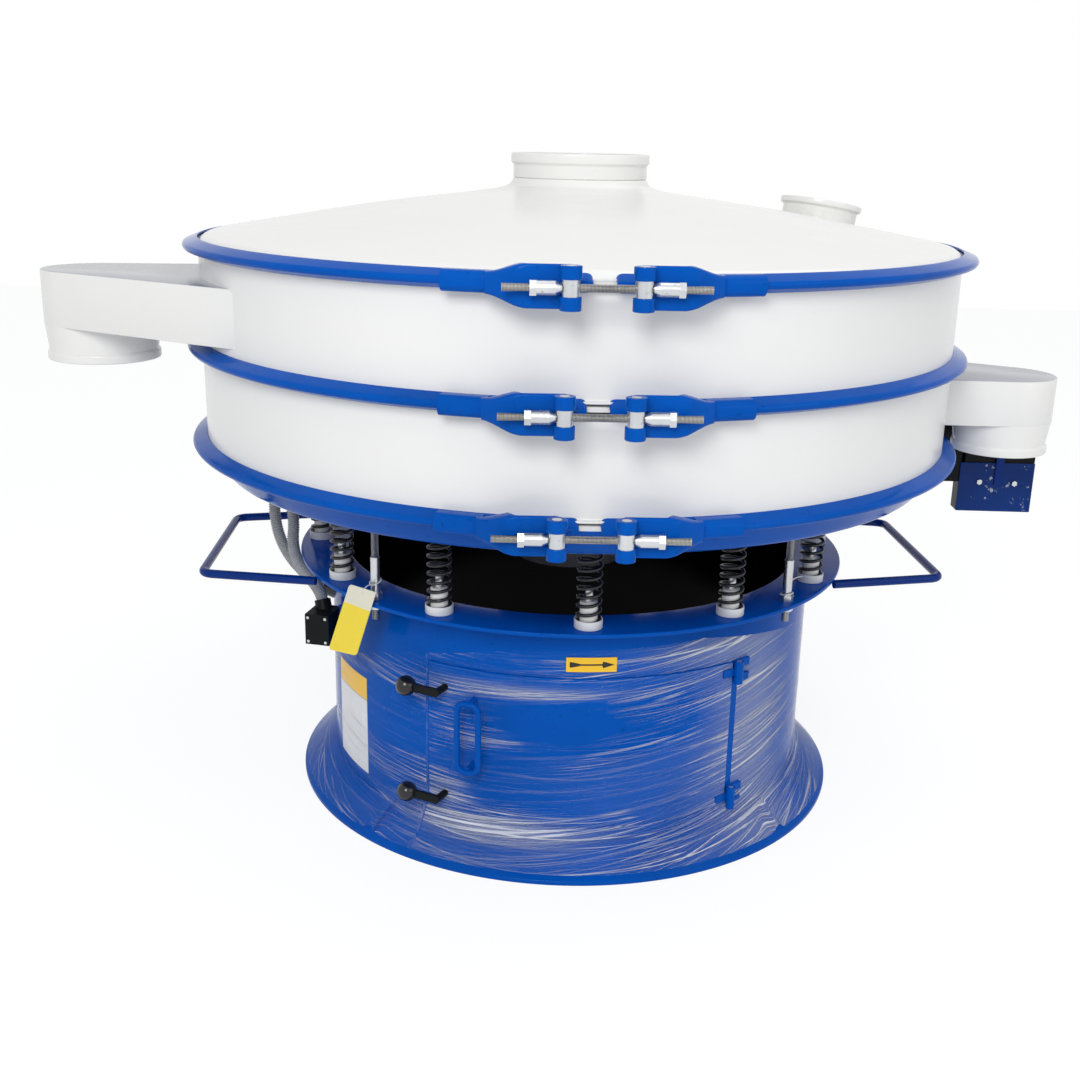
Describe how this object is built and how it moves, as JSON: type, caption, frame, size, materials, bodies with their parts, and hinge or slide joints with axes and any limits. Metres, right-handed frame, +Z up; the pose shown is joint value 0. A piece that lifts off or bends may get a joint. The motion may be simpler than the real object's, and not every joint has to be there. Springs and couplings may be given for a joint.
{
  "type": "vibrating sieve",
  "caption": "Round vibrating sieve: two drums under a conical lid, held by clamp bands, side spouts, on a ring of coil springs over a skirted base drum with a hinged door.",
  "frame": {"origin": "on the floor, on the upright axis of the base drum", "axes": "+Z up along the drums' axis; -Y towards the operator, the door, handles and clamps turned 4 degrees from it; +X towards the lower spout"},
  "size_m": [2.1044, 1.6522, 1.33],
  "materials": {
    "white_paint": "off-white gloss enamel",
    "blue_paint": "royal blue gloss enamel",
    "black_paint": "black satin enamel",
    "black_spring": "black oiled spring steel",
    "zinc_steel": "zinc plated",
    "screen_wire": "woven stainless wire",
    "cast_weight": "cast, machined faces",
    "white_plastic": "moulded, white",
    "black_plastic": "moulded, black",
    "grey_conduit": "corrugated, mid grey",
    "grey_rubber": "moulded rubber"
  },
  "bodies": {
    "base": {"base_drum": "blue_paint", "base_skirt": "blue_paint", "skirt_ribs": "blue_paint", "spring_plate": "blue_paint", "handle_left": "blue_paint", "handle_right": "blue_paint", "spring_cups": "white_plastic", "spring_studs": "zinc_steel", "springs": "black_spring", "stay_rods": "zinc_steel", "stay_sleeves": "zinc_steel", "stay_nuts": "zinc_steel", "drum_hinge_barrels": "blue_paint", "hinge_pins": "zinc_steel", "terminal_box": "black_paint", "terminal_box_cover": "black_paint", "terminal_screws": "zinc_steel", "conduit_front": "grey_conduit", "conduit_rear": "grey_conduit", "conduit_grommet": "black_plastic"},
    "sieve": {"dish": "blue_paint", "conduit_glands": "black_plastic", "spring_top_seats": "grey_rubber", "gaskets": "grey_rubber", "lower_drum": "white_paint", "upper_drum": "white_paint", "lid": "white_paint", "inlet_tube": "white_paint", "side_port": "white_paint", "lower_spout": "white_paint", "upper_spout": "white_paint", "lower_outlet": "white_paint", "upper_outlet": "white_paint", "screen_frame": "zinc_steel", "screen_mesh": "screen_wire", "discharge_cone": "black_paint", "clamp_band_bottom": "blue_paint", "clamp_band_middle": "blue_paint", "clamp_band_top": "blue_paint", "clamp_trunnions_bottom": "zinc_steel", "clamp_trunnions_middle": "zinc_steel", "clamp_trunnions_top": "zinc_steel", "control_box": "black_paint", "control_box_cover": "blue_paint", "control_box_screws": "zinc_steel", "control_box_strap": "blue_paint", "motor_housing": "black_paint", "motor_caps": "black_paint", "motor_bearings": "zinc_steel", "motor_bolts": "zinc_steel"},
    "rotor": {"motor_shaft": "zinc_steel", "upper_weight": "cast_weight"},
    "lower_weight": {"lower_weight": "cast_weight"},
    "door": {"door_panel": "blue_paint", "door_hinge_barrels": "blue_paint", "door_grip": "blue_paint"},
    "latch_lower": {"latch_lever_lower": "zinc_steel", "latch_knob_lower": "black_plastic"},
    "latch_upper": {"latch_lever_upper": "zinc_steel", "latch_knob_upper": "black_plastic"},
    "clamp_screw_bottom": {"clamp_rod_bottom": "zinc_steel", "clamp_nuts_bottom": "zinc_steel"},
    "clamp_screw_middle": {"clamp_rod_middle": "zinc_steel", "clamp_nuts_middle": "zinc_steel"},
    "clamp_screw_top": {"clamp_rod_top": "zinc_steel", "clamp_nuts_top": "zinc_steel"}
  },
  "joints": [
    {"name": "sieve_bounce", "type": "slide", "parent": "base", "child": "sieve", "axis": [0, 0, 1], "range_m": [-0.004, 0.004], "stiffness_N_per_m": 400000, "deforming": ["springs"]},
    {"name": "rotor_spin", "type": "hinge", "parent": "sieve", "child": "rotor", "pos_m": [0, 0, 0.665], "axis": [0, 0, 1], "continuous": true},
    {"name": "weight_lead", "type": "hinge", "parent": "rotor", "child": "lower_weight", "pos_m": [0, 0, 0.497], "axis": [0, 0, 1], "range_deg": [0, 90]},
    {"name": "door_swing", "type": "hinge", "parent": "base", "child": "door", "pos_m": [0.33533, -0.41558, 0.242], "axis": [0, 0, 1], "range_deg": [0, 110]},
    {"name": "latch_turn_lower", "type": "hinge", "parent": "door", "child": "latch_lower", "pos_m": [-0.23672, -0.48535, 0.125], "axis": [-0.4384, -0.8988, 0], "range_deg": [-90, 0]},
    {"name": "latch_turn_upper", "type": "hinge", "parent": "door", "child": "latch_upper", "pos_m": [-0.23672, -0.48535, 0.35], "axis": [-0.4384, -0.8988, 0], "range_deg": [-90, 0]},
    {"name": "clamp_turn_bottom", "type": "hinge", "parent": "sieve", "child": "clamp_screw_bottom", "pos_m": [0.03363, -0.83732, 0.763], "axis": [0.9992, 0.0401, 0], "continuous": true},
    {"name": "clamp_turn_middle", "type": "hinge", "parent": "sieve", "child": "clamp_screw_middle", "pos_m": [0.04094, -0.837, 0.956], "axis": [0.9988, 0.0489, 0], "continuous": true},
    {"name": "clamp_turn_top", "type": "hinge", "parent": "sieve", "child": "clamp_screw_top", "pos_m": [0.04532, -0.83677, 1.149], "axis": [0.9985, 0.0541, 0], "continuous": true}
  ]
}
